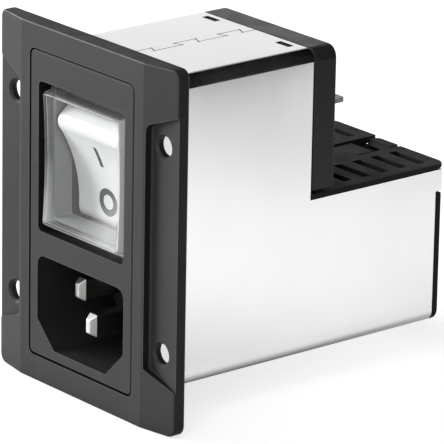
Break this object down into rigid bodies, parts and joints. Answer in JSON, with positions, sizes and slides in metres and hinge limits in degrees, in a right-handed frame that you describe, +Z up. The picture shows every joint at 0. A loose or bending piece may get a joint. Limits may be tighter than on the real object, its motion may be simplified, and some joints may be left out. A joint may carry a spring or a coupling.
{
  "type": "power entry module",
  "caption": "Panel power entry module: appliance inlet and rocker circuit breaker under a clear splash cover, with a mains filter in a folded sheet can behind.",
  "frame": {"origin": "centre of the flange's back face, the plane that seats on the panel", "axes": "+X right seen from the front, +Y back into the equipment, +Z up with the inlet below the rocker"},
  "size_m": [0.0488, 0.07, 0.0644],
  "materials": {
    "grey": "fine moulded grain",
    "black": "fine moulded grain",
    "white": "smooth moulded",
    "clear": "clear soft silicone",
    "nickel": "nickel plated",
    "steel": "bright rolled sheet",
    "copper": "bare copper alloy",
    "board": "coated laminate",
    "ferrite": "sintered, dull",
    "film_case": "moulded",
    "disc": "dipped lacquer"
  },
  "bodies": {
    "housing": {"mounting_flange": "grey", "inlet_faceplate": "grey", "line_pin": "nickel", "neutral_pin": "nickel", "earth_pin": "nickel", "splash_cover": "clear", "rocker_axle": "nickel", "breaker_bezel": "grey", "breaker_housing": "black", "upper_terminal_left": "nickel", "upper_terminal_right": "nickel", "lower_terminal_left": "nickel", "lower_terminal_right": "nickel", "trip_strip_left": "copper", "trip_strip_right": "copper", "shield_can": "steel", "rear_frame": "black", "vent_lid": "black", "rear_plate": "black", "circuit_board": "board", "choke_core": "ferrite", "choke_winding_left": "copper", "choke_winding_right": "copper", "x_capacitor": "film_case", "y_capacitor_left": "disc", "y_capacitor_right": "disc", "earth_strap": "copper"},
    "rocker": {"rocker": "white"},
    "carrier": {"contact_carrier": "white", "contact_bridge_left": "copper", "contact_bridge_right": "copper"}
  },
  "joints": [
    {"name": "rocker_tilt", "type": "hinge", "parent": "housing", "child": "rocker", "pos_m": [0, 0.006, 0.00885], "axis": [-1, 0, 0], "range_deg": [0, 32.8]},
    {"name": "carrier_slide", "type": "slide", "parent": "housing", "child": "carrier", "axis": [0, 0, -1], "range_m": [0, 0.00283]}
  ],
  "couplings": [
    {"joint": "carrier_slide", "follows": "rocker_tilt", "m_per_rad": 0.0049321}
  ]
}
